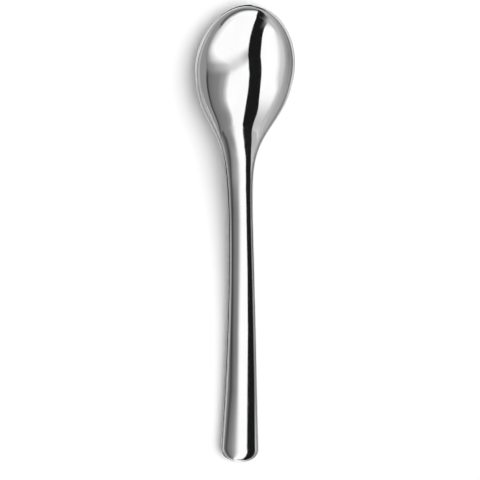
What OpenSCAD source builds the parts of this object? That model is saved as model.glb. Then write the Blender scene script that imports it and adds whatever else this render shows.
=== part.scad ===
// Soup spoon with a hollow handle: a forged bowl whose tang is cemented into two brazed handle shells.
// It lies face up along Y, with the bowl's tip at +Y. Heights are measured from the table.
// A station is a distance along the spoon from the bowl's tip.

/* [Spoon] */
// Length from the bowl's tip to the end of the handle
overall_l = 200; // [185:1:215]
// Width of the flat land that runs round the whole outline
edge_w = 1; // [0.8:0.1:1.4]
// Fullness of the curved sections, from an ellipse at 0.5 to a parabola at 1
fullness = 0.7; // [0.6:0.05:0.9]
// Depth of the small polished flats on which the bowl and the handle rest
rest_flat = 0.25; // [0.15:0.05:0.35]

/* [Bowl] */
// Width of the bowl across its outline
bowl_w = 45; // [40:0.2:50]
// Station where the bowl is widest
bowl_tip_l = 30; // [26:0.1:33]
// Depth of the bowl below its rim
bowl_depth = 10.3; // [8:0.1:12]
// Thickness of the bowl's floor
bowl_t = 1.8; // [1.4:0.1:2.4]
// Station in the middle of the shoulder, where the bowl narrows fastest
shoulder_at = 52.4; // [48:0.1:56]
// Length over which the shoulder spreads
shoulder_l = 14; // [11:0.5:17]
// Rise of the rim from the tip towards the neck, in degrees
rim_tilt = 7; // [5:0.5:9]

/* [Handle] */
// Width of the neck, the narrowest place
neck_w = 10.9; // [9.6:0.1:12.5]
// Station where the handle starts to widen
neck_at = 91; // [86:0.5:96]
// Width of the handle just before its rounded end
end_w = 17.2; // [14:0.1:20]
// Length of the rounded end
end_l = 6.3; // [5:0.1:8]
// How late the handle widens, from evenly at 1 to near its end at 2
flare = 1.6; // [1.3:0.05:2]
// Thickness of the handle along its middle, at its end
handle_t = 4.4; // [4:0.1:5.5]
// Depth of the channel that runs on from the bowl along the handle, at the handle's end
channel_d = 1; // [0.7:0.1:1.3]
// Station of the highest point, where the rim's rise meets the handle's fall
hump_at = 67.6; // [64:0.2:72]
// Height over which that highest point is rounded
hump_round = 4; // [2:0.5:6]
// How soon the handle falls to the table, from evenly at 1 to early at 3
sweep = 2.5; // [2:0.1:3]

/* [Joints] */
// Station of the joint between bowl and handle
joint_at = 88; // [84:0.5:94]
// Sheet thickness of the handle shells
shell_t = 0.9; // [0.7:0.05:1.1]
// Thickness of the braze in the seam between the shells and at the neck
braze_t = 0.15; // [0.1:0.05:0.25]
// Height of the lower shell's upright lip, below the seam
lip_h = 0.45; // [0.3:0.05:0.8]
// Length of the tang inside the handle
tang_l = 38; // [30:1:46]
// Thickness of cement above and below the tang at the handle's mouth
cement_t = 0.35; // [0.25:0.05:0.45]
// Thickness of cement beyond the tang's end
cement_end = 4; // [2:0.5:8]
// Width of the tang's end, as a share of its root
tang_taper = 0.6; // [0.5:0.05:0.9]

/* [Hidden] */

edge_h = shell_t + braze_t + lip_h;
mouth_at = joint_at + braze_t;
round_at = overall_l - end_l;
tang_end_at = joint_at + tang_l;
handle_drop = channel_d + handle_t;

// Counts of facets: across a section, round the tip, along the bowl, handle and tang, and round the end
section_n = 20;
tip_n = 13;
bowl_n = 24;
handle_n = 26;
tang_n = 8;
round_n = 7;
// Points of a line across the top, with one at each edge of the outline
line_n = section_n + 3;
// Angles left flat at the very tip and at the very end of the handle
tip_a = 4;
end_a = 10;

// Positions across a section, from -1 at the left edge to 1 at the right, closer together near the edges
across = [for (i = [0:section_n]) let (s = 2 * i / section_n - 1) s * (1.25 - 0.25 * s * s)];
// Share of the inside's width that these positions span there, with one more point at each edge
inner_across = 0.96;

function between(a, b, share) = a + (b - a) * share;
function backwards(list) = [for (i = [len(list) - 1:-1:0]) list[i]];
function smooth_min(a, b, r) = min(a, b) - pow(max(r - abs(a - b), 0), 2) / (4 * r);
function bulge(u) = pow(max(0, 1 - u * u), fullness);

// Shoulder: 1 at the bowl's widest station, falling to 0 along the handle
function shoulder_fall(t) = 1 / (1 + exp(2 * (t - shoulder_at) / shoulder_l));
function shoulder(t) = shoulder_fall(t) / shoulder_fall(bowl_tip_l);

// Plan: half the width of the outline, before the tip and the end are rounded
function handle_half(t) =
    between(neck_w, end_w, pow(max(0, (t - neck_at) / (round_at - neck_at)), flare)) / 2;
function half_w(t) = between(handle_half(t), bowl_w / 2, shoulder(t));

// Depths below the edge: of the hollow on top and of the underside. The channel narrows and flattens alike.
function channel(t) = channel_d * (handle_half(t) - edge_w) / (end_w / 2 - edge_w);
function hollow(t) = between(channel(t), bowl_depth, shoulder(t));
function under(t) = between(handle_drop, bowl_depth + bowl_t, shoulder(t));

// Rows: [outer station, inner station, share of the width, share of the depth]
function tip_row(a) = [
    bowl_tip_l * (1 - cos(a)),
    bowl_tip_l - (bowl_tip_l - edge_w) * cos(a),
    sin(a),
    a > tip_a ? pow(sin(a), 2 * fullness) : 0
];
function plain_row(t) = [t, t, 1, 1];
function end_row(a) = [
    round_at + end_l * cos(a),
    round_at + (end_l - edge_w) * cos(a),
    sin(a),
    a > tip_a ? pow(sin(a), 2 * fullness) : 0
];
function plain_rows(from, to, n) = [for (i = [0:n]) plain_row(between(from, to, i / n))];

tip_rows = [for (i = [0:tip_n - 1]) tip_row(between(tip_a, 90, i / tip_n))];
end_rows = [for (i = [1:round_n]) end_row(between(90, end_a, i / round_n))];
bowl_rows = concat(tip_rows, plain_rows(bowl_tip_l, joint_at, bowl_n));
handle_rows = concat(plain_rows(mouth_at, round_at, handle_n), end_rows);

// Side profile: the rim rises from the tip, then the handle sweeps down to the table.
// Both are set so that the bowl and the handle's end reach the table less the depth of their flats.
function rim_rise(t) = tan(rim_tilt) * (t - bowl_tip_l);
rim_h = -rest_flat - min([for (row = bowl_rows)
    rim_rise(row[0]) - between(edge_h, under(row[0]), row[3])]);
end_h = handle_drop - rest_flat;
hump_h = rim_h + rim_rise(hump_at) - end_h;
function sweep_rise(t) = hump_h * pow((overall_l - t) / (overall_l - hump_at), sweep);
function edge_z(t) = smooth_min(rim_h + rim_rise(t), end_h + sweep_rise(t), hump_round);

// Points of a row
function place(t) = overall_l / 2 - t;
function edge_point(row, side, drop) =
    [side * half_w(row[0]) * row[2], place(row[0]), edge_z(row[0]) - drop];
function hollow_point(row, u, drop) = [
    u * (half_w(row[1]) - edge_w) * row[2],
    place(row[1]),
    edge_z(row[1]) - row[3] * hollow(row[1]) * bulge(u) - drop
];
function under_point(row, u) = [
    u * half_w(row[0]) * row[2],
    place(row[0]),
    max(0, edge_z(row[0]) - between(edge_h, under(row[0]), row[3] * bulge(u)))
];
function cavity_point(row, u) = [
    u * (half_w(row[1]) - edge_w) * row[2],
    place(row[1]),
    edge_z(row[1]) - between(shell_t + braze_t, under(row[1]) - shell_t, row[3] * bulge(u))
];

function edge_line(row, drop) = concat(
    [edge_point(row, -1, drop)],
    [for (u = across) hollow_point(row, u, drop)],
    [edge_point(row, 1, drop)]
);
// Outside of the whole section, with which the bowl and both shells are flush
function outside_ring(row) = concat(edge_line(row, 0), backwards([for (u = across) under_point(row, u)]));
// Inside of the hollow handle, with as many points as the outside
function inside_ring(row) = concat(
    [hollow_point(row, -1, shell_t)],
    [for (u = across) hollow_point(row, u * inner_across, shell_t)],
    [hollow_point(row, 1, shell_t)],
    backwards([for (u = across) cavity_point(row, u)])
);
// The tang keeps the mouth's inside shape, less the cement, and tapers to its end
mouth_row = plain_row(mouth_at);
function inside_mid(t) = edge_z(t) - (hollow(t) + under(t)) / 2;
tang_share = 1 - 2 * cement_t / (under(mouth_at) - hollow(mouth_at) - 2 * shell_t);
function tang_ring(t) =
    let (share = tang_share * between(1, tang_taper, (t - joint_at) / tang_l))
    [for (p = inside_ring(mouth_row))
        [p.x * share, place(t), inside_mid(t) + (p.z - inside_mid(mouth_at)) * share]];

// Faces between rings that follow each other, two triangles for each pair of points
function side_faces(rings, n) = [
    for (r = [0:rings - 2], p = [0:n - 1])
        let (a = r * n + p, b = r * n + (p + 1) % n)
            each [[a, a + n, b], [b, a + n, b + n]]
];
function span(from, to) = [for (i = [from:to]) i];
function fan(list) = [for (i = [1:len(list) - 2]) [list[0], list[i + 1], list[i]]];
function flipped(faces) = [for (face = faces) backwards(face)];
// Flat cap on a ring: a strip between its first top_n points, which are one line across it, and the rest.
// The rest may lack that line's two end points.
function cap(first, top_n, n) =
    let (
        top = span(first, first + top_n - 1),
        low = backwards(span(first + top_n, first + n - 1)),
        short = len(low) < top_n,
        bottom = short ? concat([low[0]], low, [low[len(low) - 1]]) : low
    )
    [for (i = [0:top_n - 2]) each concat(
        [[top[i], top[i + 1], bottom[i + 1]]],
        bottom[i] == bottom[i + 1] ? [] : [[top[i], bottom[i + 1], bottom[i]]]
    )];

// Closed solid through a list of rings, with a flat cap at each end
module loft(rings, top_n) {
    n = len(rings[0]);
    last = (len(rings) - 1) * n;
    polyhedron(
        points = [for (ring = rings) each ring],
        faces = concat(side_faces(len(rings), n), cap(0, top_n, n), flipped(cap(last, top_n, n)))
    );
}

// The same, where the last ring is a blunt round end that the given outlines of its points close
module blunt_loft(rings, top_n, end_outlines) {
    n = len(rings[0]);
    last = (len(rings) - 1) * n;
    polyhedron(
        points = [for (ring = rings) each ring],
        faces = concat(
            side_faces(len(rings), n),
            cap(0, top_n, n),
            [for (outline = end_outlines) each fan([for (i = outline) last + i])]
        )
    );
}

// Ring of solid round a hole: the rings follow each other and close on themselves
module hoop(rings) {
    n = len(rings[0]);
    total = len(rings) * n;
    polyhedron(
        points = [for (ring = rings) each ring],
        faces = [for (face = side_faces(len(rings) + 1, n)) [for (i = face) i % total]]
    );
}

// Bowl: forged in one with the neck and with the tang that runs into the handle
module bowl() {
    ring_n = line_n + section_n + 1;
    tang_rings = [for (i = [tang_n:-1:0]) tang_ring(between(joint_at, tang_end_at, i / tang_n))];
    color("silver")
        blunt_loft(
            concat(tang_rings, [for (row = backwards(bowl_rows)) outside_ring(row)]),
            line_n,
            [span(0, line_n - 1), concat([0], span(line_n - 1, ring_n - 1))]
        );
}

// Upper shell: a dished strip whose edges sit on the seam
module handle_upper_shell() {
    color("gainsboro")
        blunt_loft(
            [for (row = handle_rows) concat(backwards(edge_line(row, 0)), edge_line(row, shell_t))],
            line_n,
            [span(0, line_n - 1), span(line_n, 2 * line_n - 1), [0, line_n - 1, line_n, 2 * line_n - 1]]
        );
}

// Lower shell: a round gutter, closed at its end, with an upright lip below the seam
module handle_lower_shell() {
    seam_drop = shell_t + braze_t;
    color("lightgray")
        blunt_loft(
            [for (row = handle_rows) concat(
                [edge_point(row, -1, seam_drop)],
                [for (u = across) under_point(row, u)],
                [edge_point(row, 1, seam_drop)],
                backwards([for (u = across) cavity_point(row, u)])
            )],
            line_n,
            [span(0, line_n - 1), concat([0], span(line_n - 1, line_n + section_n))]
        );
}

// Braze in the seam: one thin strip down the left edge, round the end and back up the right edge
module seam_braze() {
    function strip(row, side) = [
        edge_point(row, side, shell_t),
        edge_point(row, side, shell_t + braze_t),
        hollow_point(row, side, shell_t + braze_t),
        hollow_point(row, side, shell_t)
    ];
    color("khaki")
        loft(concat(
            [for (row = handle_rows) strip(row, -1)],
            [for (row = backwards(handle_rows)) strip(row, 1)]
        ), 2);
}

// Braze at the neck: a thin washer round the tang, between the bowl and the handle's mouth
module neck_braze() {
    joint_row = plain_row(joint_at);
    color("khaki")
        hoop([tang_ring(joint_at), tang_ring(mouth_at), outside_ring(mouth_row), outside_ring(joint_row)]);
}

// Cement: fills the handle round the tang and just beyond its end
module tang_cement() {
    cement_stop_at = tang_end_at + cement_end;
    color("dimgray")
        loft(concat(
            [for (row = plain_rows(cement_stop_at, mouth_at, tang_n)) inside_ring(row)],
            [for (i = [0:tang_n]) tang_ring(between(mouth_at, tang_end_at, i / tang_n))]
        ), line_n);
}

bowl();
handle_upper_shell();
handle_lower_shell();
seam_braze();
neck_braze();
tang_cement();
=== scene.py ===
import math

import bpy
from mathutils import Matrix, Vector


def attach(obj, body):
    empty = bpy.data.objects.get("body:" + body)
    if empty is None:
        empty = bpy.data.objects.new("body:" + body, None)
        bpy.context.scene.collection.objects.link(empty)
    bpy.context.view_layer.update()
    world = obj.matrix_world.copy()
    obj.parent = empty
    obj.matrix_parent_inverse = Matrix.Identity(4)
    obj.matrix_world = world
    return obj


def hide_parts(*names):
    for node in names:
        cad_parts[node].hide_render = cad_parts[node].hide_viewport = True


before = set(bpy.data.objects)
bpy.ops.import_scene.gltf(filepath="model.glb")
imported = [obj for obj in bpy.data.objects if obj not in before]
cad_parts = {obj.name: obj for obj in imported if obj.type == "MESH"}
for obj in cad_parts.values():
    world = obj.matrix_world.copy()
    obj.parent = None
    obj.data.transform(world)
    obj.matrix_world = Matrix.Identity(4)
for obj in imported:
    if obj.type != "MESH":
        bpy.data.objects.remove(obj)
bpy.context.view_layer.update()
MM = 0.001

# Camera: a long lens above the table, leaning 17 degrees to the spoon's right-hand side.
# It is rolled a little, so that the bowl's tip leans to the right of the picture.
lean = math.radians(17)
roll = math.radians(1.45)
stand_off = 900 * MM
pixels_across = 480
pixel_w = 0.436 * MM
aim_h = 8 * MM
aim_left = 1.35 * MM
aim_down = 2.62 * MM
film_w = 36
look = Vector((-math.sin(lean), 0, -math.cos(lean)))
level_right = Vector((math.cos(lean), 0, -math.sin(lean)))
along = Vector((0, 1, 0))
picture_right = level_right * math.cos(roll) + along * math.sin(roll)
picture_up = along * math.cos(roll) - level_right * math.sin(roll)
middle = Vector((0, 0, aim_h)) - picture_right * aim_left - picture_up * aim_down
camera_data = bpy.data.cameras.new("camera")
camera_data.sensor_width = film_w
camera_data.lens = film_w * stand_off / (pixels_across * pixel_w)
camera = bpy.data.objects.new("camera", camera_data)
bpy.context.collection.objects.link(camera)
turn = Matrix((picture_right, picture_up, -look)).transposed()
camera.matrix_world = Matrix.Translation(middle - look * stand_off) @ turn.to_4x4()
bpy.context.scene.camera = camera
bpy.context.scene.view_settings.view_transform = "Standard"

# Bowl: forged in one stainless piece with the raised neck and the tang, then ground and polished.
# The tang is the tongue that runs into the hollow handle. Lengths are in millimetres, and a station
# is a distance along the spoon from the bowl's tip.
overall_l = 200
edge_w = 1
fullness = 0.7
rest_flat = 0.25
bowl_w = 45
bowl_tip_l = 30
bowl_depth = 10.3
bowl_t = 1.8
shoulder_at = 52.4
shoulder_l = 14
rim_slope = math.tan(math.radians(7))
neck_w = 10.9
neck_at = 91
end_w = 17.2
end_l = 6.3
flare = 1.6
handle_t = 4.4
channel_d = 1
hump_at = 67.6
hump_round = 4
sweep = 2.5
joint_at = 88
shell_t = 0.9
braze_t = 0.15
lip_h = 0.45
tang_l = 38
cement_t = 0.35
tang_taper = 0.6
lip_crown = 0.3
edge_h = shell_t + braze_t + lip_h
seam_drop = shell_t + braze_t
mouth_at = joint_at + braze_t
round_at = overall_l - end_l
handle_drop = channel_d + handle_t


def between(a, b, share):
    return a + (b - a) * share


def shoulder_fall(t):
    return 1 / (1 + math.exp(2 * (t - shoulder_at) / shoulder_l))


def shoulder(t):
    return shoulder_fall(t) / shoulder_fall(bowl_tip_l)


def handle_half(t):
    share = max(0, (t - neck_at) / (round_at - neck_at))
    return between(neck_w, end_w, share ** flare) / 2


def half_w(t):
    return between(handle_half(t), bowl_w / 2, shoulder(t))


def hollow(t):
    channel = channel_d * (handle_half(t) - edge_w) / (end_w / 2 - edge_w)
    return between(channel, bowl_depth, shoulder(t))


def under(t):
    return between(handle_drop, bowl_depth + bowl_t, shoulder(t))


def rim_rise(t):
    return rim_slope * (t - bowl_tip_l)


# A row is the station of the outside, the station of the hollow's edge, and the share of the width.
def tip_row(a):
    back = math.cos(a)
    return (bowl_tip_l * (1 - back), bowl_tip_l - (bowl_tip_l - edge_w) * back, math.sin(a))


def plain_row(t):
    return (t, t, 1)


def end_row(a):
    out = math.cos(a)
    return (round_at + end_l * out, round_at + (end_l - edge_w) * out, math.sin(a))


def quarter(n):
    return [math.pi / 2 * i / n for i in range(n + 1)]


def stations(start, stop, n):
    return [between(start, stop, i / n) for i in range(n + 1)]


tip_steps = 44
bowl_steps = 96
tip_rows = [tip_row(a) for a in quarter(tip_steps)]
tip_rows[0] = (0, edge_w, 0)
bowl_rows = tip_rows[:-1] + [plain_row(t) for t in stations(bowl_tip_l, joint_at, bowl_steps)]
lowest = min(rim_rise(t) - between(edge_h, under(t), s ** (2 * fullness)) for t, _, s in bowl_rows)
rim_h = -rest_flat - lowest
handle_end_h = handle_drop - rest_flat
hump_h = rim_h + rim_rise(hump_at) - handle_end_h


def edge_z(t):
    rim = rim_h + rim_rise(t)
    fall = max(0, (overall_l - t) / (overall_l - hump_at))
    handle = handle_end_h + hump_h * fall ** sweep
    overlap = max(hump_round - abs(rim - handle), 0)
    return min(rim, handle) - overlap ** 2 / (4 * hump_round)


# Across a section, u runs from -1 at the left edge to 1 at the right, closer together at the edges.
def across(n):
    return [math.sin(math.pi * (i / n - 0.5)) for i in range(n + 1)]


def bulge(u):
    return max(0, 1 - u * u) ** fullness


def crown(t):
    return lip_crown * hollow(t) / (hollow(t) + 1)


def top_line(row, n):
    t, share = row[1], row[2]
    w = (half_w(t) - edge_w) * share
    start = crown(t)
    deep = max(share ** (2 * fullness) * hollow(t), start) - start
    y, z = overall_l / 2 - t, edge_z(t) - start
    return [Vector((u * w, y, z - deep * bulge(u))) for u in across(n)]


def under_line(row, n):
    t, share = row[0], row[2]
    w = half_w(t) * share
    z = edge_z(t)
    deep = share ** (2 * fullness)
    return [
        Vector((u * w, overall_l / 2 - t, max(0, z - between(edge_h, under(t), deep * bulge(u)))))
        for u in reversed(across(n))
    ]


# The lip is rounded: it rises from the hollow's edge to its crest and falls to the outside.
def lip_line(row, side, n):
    out_t, in_t, share = row
    inner = Vector((side * (half_w(in_t) - edge_w) * share, overall_l / 2 - in_t, edge_z(in_t)))
    outer = Vector((side * half_w(out_t) * share, overall_l / 2 - out_t, edge_z(out_t)))
    line = []
    for i in range(n + 1):
        v = -math.cos(math.pi * i / n)
        point = inner.lerp(outer, (v + 1) / 2)
        point.z -= crown(out_t) * (1 - math.sqrt(max(0, 1 - v * v)))
        line.append(point)
    return line


def side_line(row, side, start, stop, n):
    x = side * half_w(row[0]) * row[2]
    y = overall_l / 2 - row[0]
    return [Vector((x, y, edge_z(row[0]) - between(start, stop, i / n))) for i in range(n + 1)]


def straight(a, b, n):
    return [a.lerp(b, i / n) for i in range(n + 1)]


def joined(*lines):
    ring = []
    for line in lines:
        ring += line[:-1]
    return ring + [lines[0][0]]


top_cells = 72
lip_cells = 10
side_cells = 3
under_cells = 64


def outside_ring(row):
    c = crown(row[0])
    return joined(
        top_line(row, top_cells),
        lip_line(row, 1, lip_cells),
        side_line(row, 1, c, edge_h, side_cells),
        under_line(row, under_cells),
        side_line(row, -1, edge_h, c, side_cells),
        lip_line(row, -1, lip_cells)[::-1],
    )


# The tang keeps the shape of the handle's inside at its mouth, less the cement, and tapers.
def inside_ring(t):
    w = half_w(t) - edge_w
    y = overall_l / 2 - t
    z = edge_z(t)
    top = [Vector((u * w, y, z - shell_t - hollow(t) * bulge(u))) for u in across(top_cells)]
    low = [
        Vector((u * w, y, z - between(seam_drop, under(t) - shell_t, bulge(u))))
        for u in reversed(across(under_cells))
    ]
    right = straight(top[-1], low[0], lip_cells + side_cells)
    left = straight(low[-1], top[0], lip_cells + side_cells)
    return joined(top, right, low, left)


def inside_mid(t):
    return edge_z(t) - (hollow(t) + under(t)) / 2


tang_share = 1 - 2 * cement_t / (under(mouth_at) - hollow(mouth_at) - 2 * shell_t)
mouth_ring = inside_ring(mouth_at)


def tang_ring(t, shrink=1):
    share = shrink * tang_share * between(1, tang_taper, (t - joint_at) / tang_l)
    mid = inside_mid(mouth_at)
    return [
        Vector((p.x * share, overall_l / 2 - t, inside_mid(t) + (p.z - mid) * share))
        for p in mouth_ring
    ]


# A skin is a flat grid, wrapped round the rings with one row to each ring, and sewn shut.
weld_gap = 0.0005 * MM
sharp_edge = math.radians(40)


def wrapped_skin(name, rings):
    cells = len(rings[0]) - 1
    rows = len(rings) - 1
    bpy.ops.object.select_all(action="DESELECT")
    bpy.ops.mesh.primitive_grid_add(x_subdivisions=cells, y_subdivisions=rows, size=2)
    piece = bpy.context.active_object
    piece.name = name
    piece.data.name = name
    for vertex in piece.data.vertices:
        column = round((vertex.co.x + 1) / 2 * cells)
        row = round((vertex.co.y + 1) / 2 * rows)
        vertex.co = rings[row][column] * MM
    bpy.ops.object.mode_set(mode="EDIT")
    bpy.ops.mesh.select_all(action="SELECT")
    bpy.ops.mesh.remove_doubles(threshold=weld_gap)
    bpy.ops.mesh.dissolve_degenerate(threshold=weld_gap)
    bpy.ops.mesh.select_all(action="DESELECT")
    bpy.ops.mesh.select_non_manifold()
    bpy.ops.mesh.fill_holes(sides=0)
    bpy.ops.mesh.select_all(action="SELECT")
    bpy.ops.mesh.normals_make_consistent(inside=False)
    bpy.ops.object.mode_set(mode="OBJECT")
    bpy.ops.object.shade_smooth_by_angle(angle=sharp_edge)
    return piece


# Use marks: the hairlines and faint haze that washing and wiping leave on polished metal.
# They are denser on the low places that rub on the table.
marks = bpy.data.node_groups.new("use_marks", "ShaderNodeTree")
marks_ports = marks.interface
for port, value in (("Smooth", 0.05), ("Haze", 0.05), ("Hairlines", 0.5)):
    marks_port = marks_ports.new_socket(name=port, in_out="INPUT", socket_type="NodeSocketFloat")
    marks_port.default_value = value
for port in ("Roughness", "Height", "Tone"):
    marks_ports.new_socket(name=port, in_out="OUTPUT", socket_type="NodeSocketFloat")
wire = marks.links.new
nodes = marks.nodes
port_in = nodes.new("NodeGroupInput")
port_out = nodes.new("NodeGroupOutput")
place = nodes.new("ShaderNodeTexCoord")


def math_node(tree, operation, a, b):
    node = tree.nodes.new("ShaderNodeMath")
    node.operation = operation
    for socket, value in zip(node.inputs, (a, b)):
        if isinstance(value, (int, float)):
            socket.default_value = value
        else:
            tree.links.new(value, socket)
    return node.outputs[0]


def noise_on(tree, source, stretch, angle, detail):
    mapping = tree.nodes.new("ShaderNodeMapping")
    mapping.inputs["Scale"].default_value = stretch
    mapping.inputs["Rotation"].default_value = (0, 0, math.radians(angle))
    tree.links.new(source, mapping.inputs["Vector"])
    noise = tree.nodes.new("ShaderNodeTexNoise")
    noise.inputs["Scale"].default_value = 1
    noise.inputs["Detail"].default_value = detail
    tree.links.new(mapping.outputs["Vector"], noise.inputs["Vector"])
    return noise.outputs["Fac"]


on_metal = place.outputs["Object"]
fine_cut = 0.6
cross_cut = 0.66
haze = noise_on(marks, on_metal, stretch=(160, 90, 160), angle=20, detail=4)
fine_lines = noise_on(marks, on_metal, stretch=(9000, 130, 9000), angle=8, detail=2)
cross_lines = noise_on(marks, on_metal, stretch=(160, 7000, 160), angle=-14, detail=2)
fine_mask = math_node(marks, "SUBTRACT", fine_lines, fine_cut)
cross_mask = math_node(marks, "SUBTRACT", cross_lines, cross_cut)
line_mask = math_node(marks, "MAXIMUM", fine_mask, cross_mask)
line_mask = math_node(marks, "MAXIMUM", line_mask, 0)
height_above = nodes.new("ShaderNodeSeparateXYZ")
wire(on_metal, height_above.inputs["Vector"])
rub = nodes.new("ShaderNodeMapRange")
rub.inputs["From Min"].default_value = 0.2 * MM
rub.inputs["From Max"].default_value = 1.4 * MM
rub.inputs["To Min"].default_value = 3
rub.inputs["To Max"].default_value = 1
wire(height_above.outputs["Z"], rub.inputs["Value"])
line_mask = math_node(marks, "MULTIPLY", line_mask, rub.outputs["Result"])
line_mask = math_node(marks, "MULTIPLY", line_mask, port_in.outputs["Hairlines"])
hazed = math_node(marks, "MULTIPLY", haze, port_in.outputs["Haze"])
rough = math_node(marks, "ADD", port_in.outputs["Smooth"], hazed)
wire(math_node(marks, "ADD", rough, line_mask), port_out.inputs["Roughness"])
wire(math_node(marks, "MULTIPLY", line_mask, -1), port_out.inputs["Height"])
tone = nodes.new("ShaderNodeMapRange")
tone.inputs["To Min"].default_value = 0.94
tone.inputs["To Max"].default_value = 1.04
wire(haze, tone.inputs["Value"])
wire(tone.outputs["Result"], port_out.inputs["Tone"])


def polished_metal(name, colour, smooth, haze_amount, hairlines):
    material = bpy.data.materials.new(name)
    material.use_nodes = True
    tree = material.node_tree
    shader = tree.nodes["Principled BSDF"]
    shader.inputs["Metallic"].default_value = 1
    used = tree.nodes.new("ShaderNodeGroup")
    used.node_tree = marks
    used.inputs["Smooth"].default_value = smooth
    used.inputs["Haze"].default_value = haze_amount
    used.inputs["Hairlines"].default_value = hairlines
    tree.links.new(used.outputs["Roughness"], shader.inputs["Roughness"])
    toned = tree.nodes.new("ShaderNodeMix")
    toned.data_type = "RGBA"
    toned.blend_type = "MULTIPLY"
    toned.inputs["Factor"].default_value = 1
    toned.inputs["A"].default_value = (*colour, 1)
    tree.links.new(used.outputs["Tone"], toned.inputs["B"])
    tree.links.new(toned.outputs["Result"], shader.inputs["Base Color"])
    bump = tree.nodes.new("ShaderNodeBump")
    bump.inputs["Strength"].default_value = 0.08
    bump.inputs["Distance"].default_value = 0.004 * MM
    tree.links.new(used.outputs["Height"], bump.inputs["Height"])
    tree.links.new(bump.outputs["Normal"], shader.inputs["Normal"])
    return material


steel = polished_metal(
    "polished_steel", (0.82, 0.82, 0.825), smooth=0.03, haze_amount=0.03, hairlines=0.3
)
tang_steps = 10
tang_end = joint_at + tang_l
tang_rings = [tang_ring(t) for t in stations(joint_at, tang_end, tang_steps)]
tang_tip = tang_ring(tang_end, shrink=0)
bowl_rings = [outside_ring(row) for row in bowl_rows]
bowl = wrapped_skin("bowl_skin", [tang_tip] + tang_rings[::-1] + bowl_rings[::-1])
bowl.data.materials.append(steel)
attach(bowl, "root")
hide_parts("bowl")

# Handle, lower shell: a round gutter pressed from stainless sheet and closed at the far end.
# Its upright lip carries the seam.
handle_steps = 120
end_steps = 30
gutter_cells = 72
land_cells = 3
handle_rows = [plain_row(t) for t in stations(mouth_at, round_at, handle_steps)]
handle_rows += [end_row(a) for a in quarter(end_steps)[::-1][1:]]
handle_rows[-1] = (overall_l, overall_l - edge_w, 0)


def lower_ring(row):
    t, share = row[1], row[2]
    w = (half_w(t) - edge_w) * share
    y, z = overall_l / 2 - t, edge_z(t)
    deep = share ** (2 * fullness)
    cavity = [
        Vector((u * w, y, z - between(seam_drop, under(t) - shell_t, deep * bulge(u))))
        for u in across(under_cells)
    ]
    right_top = side_line(row, 1, seam_drop, edge_h, side_cells)
    left_top = side_line(row, -1, edge_h, seam_drop, side_cells)
    land_in = straight(left_top[-1], cavity[0], land_cells)
    land_out = straight(cavity[-1], right_top[0], land_cells)
    return joined(right_top, under_line(row, gutter_cells), left_top, land_in, cavity, land_out)


lower_shell = wrapped_skin("handle_lower_skin", [lower_ring(row) for row in handle_rows])
lower_shell.data.materials.append(steel)
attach(lower_shell, "root")
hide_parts("handle_lower_shell")

# Handle, upper shell: a dished strip pressed from the same sheet, with a rounded lip all round.
# Its edges sit on the seam.
strip_edge_cells = 2


def upper_ring(row):
    t, share = row[1], row[2]
    w = (half_w(t) - edge_w) * share
    y, z = overall_l / 2 - t, edge_z(t) - shell_t
    deep = share ** (2 * fullness) * hollow(t)
    low = [Vector((u * w, y, z - deep * bulge(u))) for u in reversed(across(under_cells))]
    c = crown(row[0])
    right_side = side_line(row, 1, c, shell_t, strip_edge_cells)
    left_side = side_line(row, -1, shell_t, c, strip_edge_cells)
    return joined(
        top_line(row, top_cells),
        lip_line(row, 1, lip_cells),
        right_side,
        straight(right_side[-1], low[0], strip_edge_cells),
        low,
        straight(low[-1], left_side[0], strip_edge_cells),
        left_side,
        lip_line(row, -1, lip_cells)[::-1],
    )


upper_shell = wrapped_skin("handle_upper_skin", [upper_ring(row) for row in handle_rows])
upper_shell.data.materials.append(steel)
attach(upper_shell, "root")
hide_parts("handle_upper_shell")

# Braze in the seam: silver braze that ran in between the two shells, ground and polished flush.
# It goes down one edge, round the end and back up the other.
braze = polished_metal(
    "silver_braze", (0.82, 0.82, 0.815), smooth=0.05, haze_amount=0.04, hairlines=0.35
)


def seam_ring(row, side):
    t = row[1]
    x = side * (half_w(t) - edge_w) * row[2]
    outer = side_line(row, side, shell_t, seam_drop, 1)
    inner = [Vector((x, overall_l / 2 - t, edge_z(t) - drop)) for drop in (seam_drop, shell_t)]
    return outer + inner + outer[:1]


left_run = [seam_ring(row, -1) for row in handle_rows]
right_run = [seam_ring(row, 1) for row in handle_rows[:-1]]
seam = wrapped_skin("seam_braze_line", left_run + right_run[::-1])
seam.data.materials.append(braze)
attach(seam, "root")
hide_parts("seam_braze")

# Braze at the neck: a thin washer of braze round the tang, between the bowl and the handle's mouth.
# It is polished flush with both.
washer_rings = [
    tang_ring(joint_at),
    outside_ring(plain_row(joint_at)),
    outside_ring(plain_row(mouth_at)),
    tang_ring(mouth_at),
    tang_ring(joint_at),
]
neck = wrapped_skin("neck_braze_line", washer_rings)
neck.data.materials.append(braze)
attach(neck, "root")
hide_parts("neck_braze")

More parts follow.
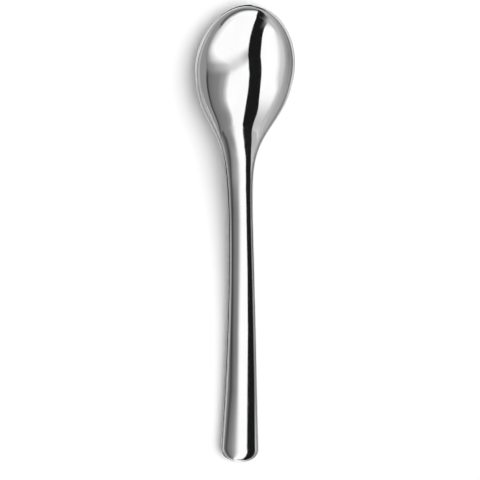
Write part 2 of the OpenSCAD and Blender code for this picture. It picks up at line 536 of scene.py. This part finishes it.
# Cement: the grey filler that was poured into the handle round the tang, and set hard.
# It is matt and grainy, and the shells hide it.
cement = bpy.data.materials.new("set_cement")
cement.use_nodes = True
cement_tree = cement.node_tree
cement_shader = cement_tree.nodes["Principled BSDF"]
cement_place = cement_tree.nodes.new("ShaderNodeTexCoord")
grain = noise_on(
    cement_tree, cement_place.outputs["Object"], stretch=(2500, 2500, 2500), angle=0, detail=6
)
cement_ramp = cement_tree.nodes.new("ShaderNodeValToRGB")
cement_ramp.color_ramp.elements[0].color = (0.2, 0.19, 0.17, 1)
cement_ramp.color_ramp.elements[1].color = (0.4, 0.39, 0.36, 1)
cement_tree.links.new(grain, cement_ramp.inputs["Fac"])
cement_tree.links.new(cement_ramp.outputs["Color"], cement_shader.inputs["Base Color"])
cement_shader.inputs["Roughness"].default_value = 0.85
cement_bump = cement_tree.nodes.new("ShaderNodeBump")
cement_bump.inputs["Strength"].default_value = 0.4
cement_bump.inputs["Distance"].default_value = 0.05 * MM
cement_tree.links.new(grain, cement_bump.inputs["Height"])
cement_tree.links.new(cement_bump.outputs["Normal"], cement_shader.inputs["Normal"])
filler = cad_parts["tang_cement"]
filler.data.materials.clear()
filler.data.materials.append(cement)

# Table: a plain white sheet, 4 m across, on which the spoon lies. It takes the spoon's shadow.
# A faint glow, for the camera and in the polish alone, keeps it white.
table_w = 4
sheet_glow = 0.03
bpy.ops.object.select_all(action="DESELECT")
bpy.ops.mesh.primitive_plane_add(size=table_w)
table = bpy.context.active_object
table.name = "table"
white_sheet = bpy.data.materials.new("white_sheet")
white_sheet.use_nodes = True
sheet_tree = white_sheet.node_tree
sheet_shader = sheet_tree.nodes["Principled BSDF"]
sheet_shader.inputs["Base Color"].default_value = (0.9, 0.9, 0.9, 1)
sheet_shader.inputs["Roughness"].default_value = 0.9
sheet_shader.inputs["Specular IOR Level"].default_value = 0
sheet_path = sheet_tree.nodes.new("ShaderNodeLightPath").outputs
sheet_seen = math_node(
    sheet_tree, "MAXIMUM", sheet_path["Is Camera Ray"], sheet_path["Is Glossy Ray"]
)
sheet_lift = math_node(sheet_tree, "MULTIPLY", sheet_seen, sheet_glow)
sheet_shader.inputs["Emission Color"].default_value = (1, 1, 1, 1)
sheet_tree.links.new(sheet_lift, sheet_shader.inputs["Emission Strength"])
table.data.materials.append(white_sheet)


# Cards: painted reflections round the spoon. They are glowing strips, no lamps, unseen by the
# camera and casting no shadow, whose tones paint the light and shade that show only in its polish,
# placed by working back from the photograph's reflections. They count in a first reflection alone,
# and some are one-sided or fade out where the reflected ray is short or long.
def tone_ramp(tree, source, stops):
    ramp = tree.nodes.new("ShaderNodeValToRGB")
    tree.links.new(source, ramp.inputs["Fac"])
    elements = ramp.color_ramp.elements
    while len(elements) < len(stops):
        elements.new(0.5)
    for element, (at, tone) in zip(elements, stops):
        element.position = at
        element.color = (tone, tone, tone, 1)
    return ramp.outputs["Color"]


def colour_mix(tree, factor, first, second):
    blend = tree.nodes.new("ShaderNodeMix")
    blend.data_type = "RGBA"
    tree.links.new(factor, blend.inputs["Factor"])
    tree.links.new(first, blend.inputs["A"])
    tree.links.new(second, blend.inputs["B"])
    return blend.outputs["Result"]


def shader_mix(tree, factor, first, second):
    mix = tree.nodes.new("ShaderNodeMixShader")
    tree.links.new(factor, mix.inputs["Fac"])
    tree.links.new(first, mix.inputs[1])
    tree.links.new(second, mix.inputs[2])
    return mix.outputs["Shader"]


past_first = 1.5


def later_look(tree):
    path = tree.nodes.new("ShaderNodeLightPath")
    return math_node(tree, "GREATER_THAN", path.outputs["Glossy Depth"], past_first)


# A card is a glowing strip of painted reflection between two edges, in millimetres. A band holds
# the painted tones from the left edge to the right one, and where they start and stop along the
# strip. A fade is the length of ray at which the card is gone, and the length at which it is all
# there.
card_cells = 16


def painted_reflection_card(name, left_edge, right_edge, *bands, one_sided=False, fade=None):
    rows = len(left_edge) - 1
    bpy.ops.object.select_all(action="DESELECT")
    bpy.ops.mesh.primitive_grid_add(x_subdivisions=card_cells, y_subdivisions=rows, size=2)
    card = bpy.context.active_object
    card.name = name
    for vertex in card.data.vertices:
        row = round((vertex.co.y + 1) / 2 * rows)
        left, right = Vector(left_edge[row]), Vector(right_edge[row])
        vertex.co = left.lerp(right, (vertex.co.x + 1) / 2) * MM
    # The material paints the card's reflection as a glow, seen only in the polish.
    reflection_paint = bpy.data.materials.new(name)
    reflection_paint.use_nodes = True
    tree = reflection_paint.node_tree
    tree.nodes.clear()
    out = tree.nodes.new("ShaderNodeOutputMaterial")
    glow = tree.nodes.new("ShaderNodeEmission")
    clear = tree.nodes.new("ShaderNodeBsdfTransparent")
    spread = tree.nodes.new("ShaderNodeUVMap")
    split = tree.nodes.new("ShaderNodeSeparateXYZ")
    tree.links.new(spread.outputs["UV"], split.inputs["Vector"])
    colour = tone_ramp(tree, split.outputs["X"], bands[0][0])
    for band, next_band in zip(bands, bands[1:]):
        change = tree.nodes.new("ShaderNodeMapRange")
        change.interpolation_type = "SMOOTHSTEP"
        change.inputs["From Min"].default_value = band[2]
        change.inputs["From Max"].default_value = next_band[1]
        tree.links.new(split.outputs["Y"], change.inputs["Value"])
        next_colour = tone_ramp(tree, split.outputs["X"], next_band[0])
        colour = colour_mix(tree, change.outputs["Result"], colour, next_colour)
    tree.links.new(colour, glow.inputs["Color"])
    gone = later_look(tree)
    if one_sided:
        facing = tree.nodes.new("ShaderNodeNewGeometry")
        gone = math_node(tree, "MAXIMUM", gone, facing.outputs["Backfacing"])
    if fade:
        reach = tree.nodes.new("ShaderNodeLightPath")
        faded = tree.nodes.new("ShaderNodeMapRange")
        faded.inputs["From Min"].default_value = fade[0] * MM
        faded.inputs["From Max"].default_value = fade[1] * MM
        faded.inputs["To Min"].default_value = 1
        faded.inputs["To Max"].default_value = 0
        tree.links.new(reach.outputs["Ray Length"], faded.inputs["Value"])
        gone = math_node(tree, "MAXIMUM", gone, faded.outputs["Result"])
    surface = shader_mix(tree, gone, glow.outputs["Emission"], clear.outputs["BSDF"])
    tree.links.new(surface, out.inputs["Surface"])
    card.data.materials.append(reflection_paint)
    card.visible_camera = False
    card.visible_diffuse = False
    card.visible_shadow = False


def plain(tone, start=0, stop=1):
    return ([(0, tone), (1, tone)], start, stop)


# Tones of the painted reflections: a highlight brighter than white, a near black, and greys.
painted_highlight_tone = 1.22
painted_dark_tone = 0.012
grey_tone = 0.33
pale_tone = 0.63
far_h = 400
shade_h = far_h + 1
left_h = far_h + 2
left_lap = 20
side_out = 1100
flag_left = [
    (-4600, -3400), (-3600, -2700), (-2600, -1950), (-1727, -1241), (-956, -629), (-729, -434),
    (-586, -317), (-430, -203), (-361, -140), (-309, -81), (-280, -37), (-256, 17), (-240, 65),
    (-234, 110), (-242, 140), (-264, 207), (-280, 264), (-306, 340), (-348, 437), (-420, 559),
    (-472, 669), (-480, 760), (-500, 1000), (-540, 3000),
]
flag_right = [
    (-1300, -1700), (-560, -740), (-390, -501), (-308, -378), (-260, -300), (-222, -243),
    (-194, -199), (-162, -148), (-140, -107), (-117, -64), (-101, -27), (-86, 21), (-77, 64),
    (-75, 106), (-84, 134), (-95, 194), (-111, 246), (-121, 312), (-127, 388), (-138, 472),
    (-150, 545), (-166, 640), (-182, 800), (-220, 2600),
]
shade_left = [
    (-60, -620), (88, -451), (144, -357), (207, -279), (328, -151), (397, -89), (470, -32),
    (421, 51), (323, 99), (215, 135), (125, 165), (75, 200), (80, 240), (107, 273), (126, 329),
    (125, 417), (90, 502), (45, 572), (0, 640), (-40, 900),
]
shade_right = [
    (500, -1400), (560, -1060), (700, -950), (740, -700), (850, -390), (930, -250), (950, -120),
    (930, 0), (840, 85), (770, 157), (735, 225), (721, 295), (738, 411), (764, 468), (774, 602),
    (802, 832), (890, 1100), (840, 1285), (700, 1400), (600, 2500),
]
bridge_left = [(-84, 20), (-74, 65), (-74, 105), (-86, 150), (-97, 200)]
bridge_right = shade_left[9:14]
left_far = [
    (-5500, -4000), (-4500, -3200), (-3500, -2400), (-2627, -1600), (-1856, -950),
    (-1629, -720), (-1486, -580), (-1330, -450), (-1261, -380), (-1209, -300), (-1180, -230),
    (-1156, -140), (-1140, 0), (-1134, 140), (-1142, 221), (-1164, 367), (-1180, 514),
    (-1806, 880), (-1848, 1157), (-1920, 1444), (-1972, 1734), (-1980, 1860), (-2000, 2600),
    (-2000, 5000),
]


def at_height(edge, z, shift=0):
    return [(x + shift, y, z) for x, y in edge]


# The bowl's cards paint its reflections: the dark stripe, the highlights and the painted shade.
painted_reflection_card(
    "bowl_dark_reflection", at_height(flag_left, far_h), at_height(flag_right, far_h),
    ([(0, 0.57), (0.2, 0.38), (0.38, 0.17), (0.52, 0.04), (0.62, painted_dark_tone), (1, painted_dark_tone)],
     0, 0.18),
    plain(painted_dark_tone, 0.36),
)
painted_reflection_card(
    "bowl_left", at_height(left_far, left_h), at_height(flag_left, left_h, left_lap),
    ([(0, 0.6), (1, 0.62)], 0, 0.19),
    ([(0, 0.76), (0.35, 1.07), (0.5, painted_highlight_tone), (1, painted_highlight_tone)], 0.345, 0.73),
    ([(0, 0.53), (1, 0.56)], 0.93, 1),
)
painted_reflection_card(
    "bowl_shade", at_height(shade_left, shade_h), at_height(shade_right, shade_h),
    ([(0, 1.15), (0.4, 0.7), (0.66, 0.43), (1, grey_tone)], 0, 0.46),
    ([(0, 0.82), (0.16, 0.6), (0.5, 0.36), (0.94, 0.24), (1, 0.2)], 0.55, 0.565),
    ([(0, 1.15), (0.06, 0.7), (0.12, 0.43), (0.28, 0.27), (0.75, 0.19), (0.97, 0.06), (1, 0.05)],
     0.64, 0.76),
    ([(0, 1.15), (0.03, 0.7), (0.07, 0.38), (0.16, 0.27), (0.7, 0.19), (0.95, 0.05), (1, 0.04)],
     0.88, 1),
)
painted_reflection_card(
    "bowl_bridge", at_height(bridge_left, shade_h), at_height(bridge_right, shade_h),
    ([(0, painted_highlight_tone), (1, 1.15)], 0, 0),
    ([(0, 0.6), (0.12, 0.62), (0.5, 0.86), (1, 0.82)], 0.42, 0.5),
    ([(0, painted_highlight_tone), (1, 1.15)], 0.9, 1),
)
painted_reflection_card(
    "bowl_side", at_height(shade_right, shade_h), [(side_out, y, 0) for _, y in shade_right],
    ([(0, 0.5), (0.3, 0.8), (0.7, 0.95), (1, 0.7)], 0, 0.05),
    ([(0, 0.15), (0.06, grey_tone), (1, grey_tone)], 0.24, 0.55),
    ([(0, 0.04), (0.04, 0.06), (0.12, grey_tone), (1, grey_tone)], 0.7, 1),
)

# A row of the near cards, which paint the reflections on the handle, is its place along the spoon,
# then, from left to right, where the black, the white and the shaded card start and where the
# shaded one stops.
near_rows = [
    (-115, -35, -17, -12.8, -2), (-96, -35, -16.5, -12.2, -3.4), (-74, -34, -15.4, -10.9, -5.2),
    (-49, -36, -14.2, -9.4, -1.2), (-23, -36, -12, -8.3, 0.6), (-1, -32, -9.3, -6.9, -0.9),
    (13, -25, -7.6, -5.6, -2.2), (27, -17, -6.2, -4.4, -1.6), (38, -11.5, -5.7, -3.7, -1),
    (45, -10.4, -5.4, -3.6, -0.6), (55, -10.85, -5.9, -3.75, 0.3), (66, -11.5, -6.6, -4.3, 3),
]
near_h = 24
near_slope = 0.147
near_from = 62
near_fade = (95, 80)
neck_fade = (45, 35)
corner_fade = (42, 36)
corner_w = 34
corner_l = 13
left_w = 70
side_w = 24
handle_part = slice(0, 7)
neck_part = slice(6, None)


def near_edge(column, shift=0):
    return [
        (row[column] + shift, row[0], near_h + near_slope * (near_from - row[0]))
        for row in near_rows
    ]


dark_shoulder = [(0, pale_tone), (0.45, 0.5), (0.75, 0.2), (1, 0.04)]
left_out = near_edge(1, -left_w)
black_start = near_edge(1)
white_start = near_edge(2)
shade_start = near_edge(3)
shade_stop = near_edge(4)
side_stop = near_edge(4, side_w)
painted_reflection_card(
    "handle_left", left_out[handle_part], black_start[handle_part],
    plain(pale_tone, 0, 0.1), (dark_shoulder, 0.35, 1),
)
painted_reflection_card(
    "neck_left", left_out[neck_part], black_start[neck_part],
    (dark_shoulder, 0, 0.05), plain(pale_tone, 0.25, 0.4), ([(0, 0.55), (1, 0.57)], 0.7, 1),
)
neck_top = Vector(black_start[-1])
neck_out = neck_top + Vector((-corner_w, 0, 0))
neck_up = neck_top + Vector((-corner_w, corner_l, 0))
painted_reflection_card(
    "neck_corner", [neck_out, neck_up], [neck_top, neck_up], ([(0, 0.55), (1, 0.56)], 0, 1),
    fade=corner_fade,
)
painted_reflection_card("handle_dark_reflection", black_start, white_start, plain(painted_dark_tone), fade=near_fade)
painted_reflection_card(
    "handle_highlight_reflection", white_start, shade_start,
    ([(0, painted_highlight_tone), (0.85, painted_highlight_tone), (1, 1.11)], 0, 1),
    fade=near_fade,
)
painted_reflection_card(
    "handle_shade", shade_start, shade_stop,
    ([(0, 1.11), (0.1, 0.7), (0.19, 0.43), (0.37, 0.27), (0.61, 0.19), (1, 0.07)], 0, 0.12),
    ([(0, 1.11), (0.045, 0.8), (0.09, 0.5), (0.14, 0.34), (0.2, 0.26), (0.4, 0.21), (0.6, 0.13),
      (0.76, 0.06), (1, 0.05)], 0.28, 0.48),
    ([(0, 1.11), (0.1, 0.75), (0.19, 0.5), (0.37, 0.38), (0.61, 0.3), (0.85, 0.2), (1, 0.09)],
     0.62, 0.74),
    ([(0, 1.11), (0.08, 0.8), (0.16, 0.48), (0.3, 0.3), (0.75, 0.24), (1, 0.09)], 0.88, 1),
    fade=near_fade,
)
side_tones = ([(0, 0.07), (0.18, 0.22), (0.45, grey_tone), (0.65, 0.5), (1, 0.85)], 0, 1)
painted_reflection_card(
    "handle_side", shade_stop[handle_part], side_stop[handle_part], side_tones, fade=near_fade
)
painted_reflection_card("neck_side", shade_stop[neck_part], side_stop[neck_part], side_tones, fade=neck_fade)

# The tip cards paint the reflections near the bowl's tip. They stand across the bowl, behind its
# tip. Their edges are pairs of place and height.
tip_y = 68
tip_top = 25
tip_fade = (25, 29)
tip_at = overall_l / 2 - tip_y
tip_half = half_w(tip_at) - edge_w
tip_rim = edge_z(tip_at) - bowl_t / 2
arc_left = -14.5
arc_right = 13
tip_flag_left = -29
tip_left_out = -80
tip_side_out = 70
tip_pale = 0.62
arc_low = [
    (arc_left, 1), (-12, 1), (-8, 2), (-4, 5), (0, 6), (3, 8), (6, 10), (9, 14), (11, 17),
    (arc_right, 19),
]
arc_high = [
    (arc_left, 15), (-12, 16), (-8, 18), (-4, 20.5), (0, 23.5), (3, 24.3), (6, 26), (9, 27.5),
    (11, 28.5), (arc_right, 29),
]


def on_tip(edge, z=None):
    return [(x, tip_y, height if z is None else z) for x, height in edge]


def tip_floor(x):
    return tip_rim - hollow(tip_at) * bulge(min(1, abs(x) / tip_half))


def tip_reflection_card(name, left_edge, right_edge, *bands):
    painted_reflection_card(name, left_edge, right_edge, *bands, one_sided=True, fade=tip_fade)


tip_reflection_card(
    "tip_arc", on_tip(arc_low), on_tip(arc_high),
    ([(0, grey_tone), (0.22, 0.31), (0.42, 0.13), (0.64, 0.13), (0.77, 0.38), (0.89, 0.78),
      (1, 1.15)], 0, 0.8),
    ([(0, grey_tone), (0.6, grey_tone), (0.77, 0.38), (0.89, 0.78), (1, 1.15)], 0.95, 1),
)
tip_reflection_card("tip_highlight_reflection", on_tip(arc_high[:6]), on_tip(arc_high[:6], tip_top), plain(painted_highlight_tone))
tip_reflection_card(
    "tip_low", [(x, tip_y, min(z, tip_floor(x))) for x, z in arc_low], on_tip(arc_low),
    plain(grey_tone),
)
tip_reflection_card(
    "tip_side",
    on_tip([(arc_right, tip_floor(arc_right)), (tip_half, tip_rim), (tip_side_out, tip_rim)]),
    on_tip([(arc_right, tip_top), (tip_half, tip_top), (tip_side_out, tip_top)]),
    plain(grey_tone),
)
flag_out = on_tip([(tip_flag_left, tip_top), (tip_flag_left, tip_rim)])
tip_reflection_card(
    "tip_dark_reflection", flag_out, on_tip([(arc_left, tip_top), (arc_left, tip_floor(arc_left))]),
    ([(0, tip_pale), (0.2, 0.52), (0.4, 0.2), (0.6, 0.04), (0.7, painted_dark_tone), (1, painted_dark_tone)],
     0, 1),
)
tip_reflection_card(
    "tip_left", on_tip([(tip_left_out, tip_top), (tip_left_out, tip_rim)]), flag_out,
    plain(tip_pale),
)

# Light: one wide soft lamp, far off to the right, with the pale room around it. The room seen in
# the polish is a painted reflection, brighter than the light it gives and darker towards its floor,
# and from the second reflection on it has darker tones, painted shade.
lamp_data = bpy.data.lights.new("key_lamp", "SUN")
lamp_data.angle = math.radians(40)
lamp_data.energy = 3.36
lamp = bpy.data.objects.new("key_lamp", lamp_data)
bpy.context.collection.objects.link(lamp)
lamp.location = (0.62, -0.1, 0.9)
lamp.rotation_euler = (Vector((0, 0, 0)) - lamp.location).to_track_quat("-Z", "Y").to_euler()
lamp.visible_glossy = False
room = bpy.data.worlds.new("room")
room.use_nodes = True
bpy.context.scene.world = room
room_tree = room.node_tree
room_tree.nodes.clear()
room_out = room_tree.nodes.new("ShaderNodeOutputWorld")
seen = room_tree.nodes.new("ShaderNodeBackground")
painted_reflection_room = room_tree.nodes.new("ShaderNodeBackground")
lit = room_tree.nodes.new("ShaderNodeBackground")
lit.inputs["Color"].default_value = (1, 1, 1, 1)
lit.inputs["Strength"].default_value = 0.22
seen.inputs["Color"].default_value = (1, 1, 1, 1)
room_path = room_tree.nodes.new("ShaderNodeLightPath").outputs
direction = room_tree.nodes.new("ShaderNodeTexCoord")
heading = room_tree.nodes.new("ShaderNodeSeparateXYZ")
room_tree.links.new(direction.outputs["Generated"], heading.inputs["Vector"])
# Tones of the room's painted reflection by height, then of its painted shade in later reflections.
first_reflection_tones = [
    (0, 0.56), (0.14, 0.64), (0.225, 0.71), (0.31, 0.81), (0.375, 0.93), (0.44, 1.05),
    (0.5, 1.2),
]
later_reflection_shade = [(0, 0.2), (0.09, 0.3), (0.28, 0.41), (0.6, 0.59), (1, 0.68)]
end_share = 0.9
endways = math_node(room_tree, "ABSOLUTE", heading.outputs["Y"], 0)
endways = math_node(room_tree, "MULTIPLY", endways, end_share)
sideways = room_tree.nodes.new("ShaderNodeMapRange")
sideways.inputs["From Min"].default_value = -1
right_or_end = math_node(room_tree, "ADD", heading.outputs["X"], endways)
room_tree.links.new(right_or_end, sideways.inputs["Value"])
painted_reflection_room_colour = colour_mix(
    room_tree, later_look(room_tree),
    tone_ramp(room_tree, heading.outputs["Z"], first_reflection_tones),
    tone_ramp(room_tree, sideways.outputs["Result"], later_reflection_shade),
)
room_tree.links.new(painted_reflection_room_colour, painted_reflection_room.inputs["Color"])
in_metal = math_node(
    room_tree, "MAXIMUM", room_path["Is Glossy Ray"], room_path["Is Transmission Ray"]
)
room_look = shader_mix(
    room_tree, in_metal, lit.outputs["Background"], painted_reflection_room.outputs["Background"]
)
room_look = shader_mix(
    room_tree, room_path["Is Camera Ray"], room_look, seen.outputs["Background"]
)
room_tree.links.new(room_look, room_out.inputs["Surface"])
